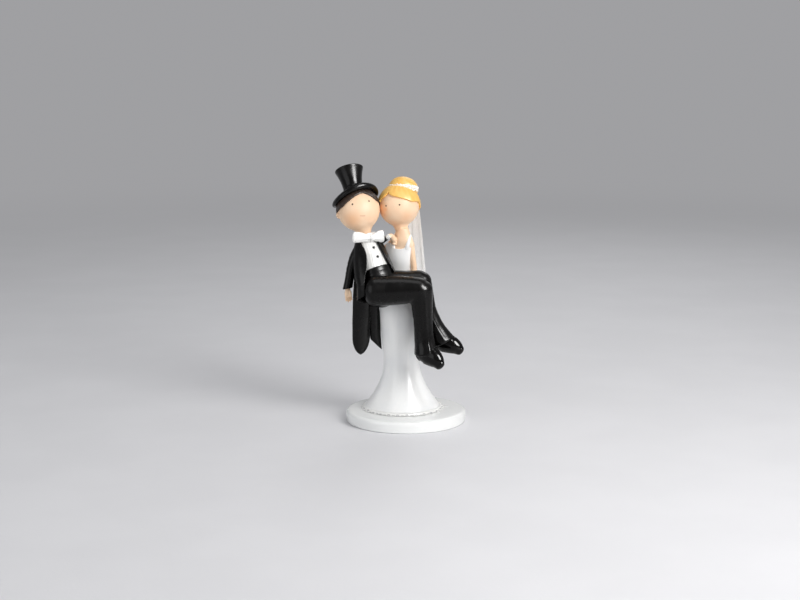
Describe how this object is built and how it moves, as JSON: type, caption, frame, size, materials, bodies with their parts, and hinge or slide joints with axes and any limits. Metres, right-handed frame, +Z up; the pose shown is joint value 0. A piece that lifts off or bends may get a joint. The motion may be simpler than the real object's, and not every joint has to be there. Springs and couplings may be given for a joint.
{
  "type": "wedding cake topper",
  "caption": "Bride in a bell skirt carrying a seated groom in a top hat and tailcoat, on a low round base, as a hand-sized cake topper.",
  "frame": {"origin": "centre of the flat underside of the round base", "axes": "+Z up from the underside to the top hat, -Y towards the viewer whom the figures face, +X to the viewer's right"},
  "size_m": [0.0837, 0.076, 0.1621],
  "materials": {
    "white_glaze": "white gloss paint over cast resin",
    "pearl_gown": "pearly satin white paint over cast resin",
    "lace": "white paint over a modelled lace edge",
    "black_gloss": "high-gloss black paint over cast resin",
    "skin": "satin flesh paint over cast resin, with airbrushed cheeks",
    "blonde_hair": "golden blonde paint over cast resin",
    "brown_hair": "dark brown paint over cast resin",
    "flowers": "cream flowers with grey-green leaves",
    "white_linen": "white satin paint over cast resin",
    "tulle": "sheer off-white net"
  },
  "bodies": {
    "root": {"base_disc": "white_glaze", "skirt": "pearl_gown", "dress_bodice": "pearl_gown", "skirt_lace_hem": "lace", "trouser_seat": "black_gloss", "right_shoe": "black_gloss", "left_shoe": "black_gloss", "right_trouser_leg": "black_gloss", "left_trouser_leg": "black_gloss", "hat_crown": "black_gloss", "hat_brim": "black_gloss", "upper_shirt_stud": "black_gloss", "lower_shirt_stud": "black_gloss", "cummerbund": "black_gloss", "tailcoat_body": "black_gloss", "right_lapel": "black_gloss", "left_lapel": "black_gloss", "right_sleeve": "black_gloss", "left_sleeve": "black_gloss", "right_coat_tail": "black_gloss", "left_coat_tail": "black_gloss", "groom_head": "skin", "right_ear": "skin", "bride_head": "skin", "bride_chest": "skin", "right_hand": "skin", "left_hand": "skin", "bride_left_arm": "skin", "bride_right_arm": "skin", "bride_bun": "blonde_hair", "bride_hair": "blonde_hair", "groom_hair": "brown_hair", "flower_wreath": "flowers", "shirt_front": "white_linen", "left_shirt_cuff": "white_linen", "wing_collar": "white_linen", "bow_knot": "white_linen", "bow_right_loop": "white_linen", "bow_left_loop": "white_linen", "veil": "tulle"}
  },
  "joints": []
}
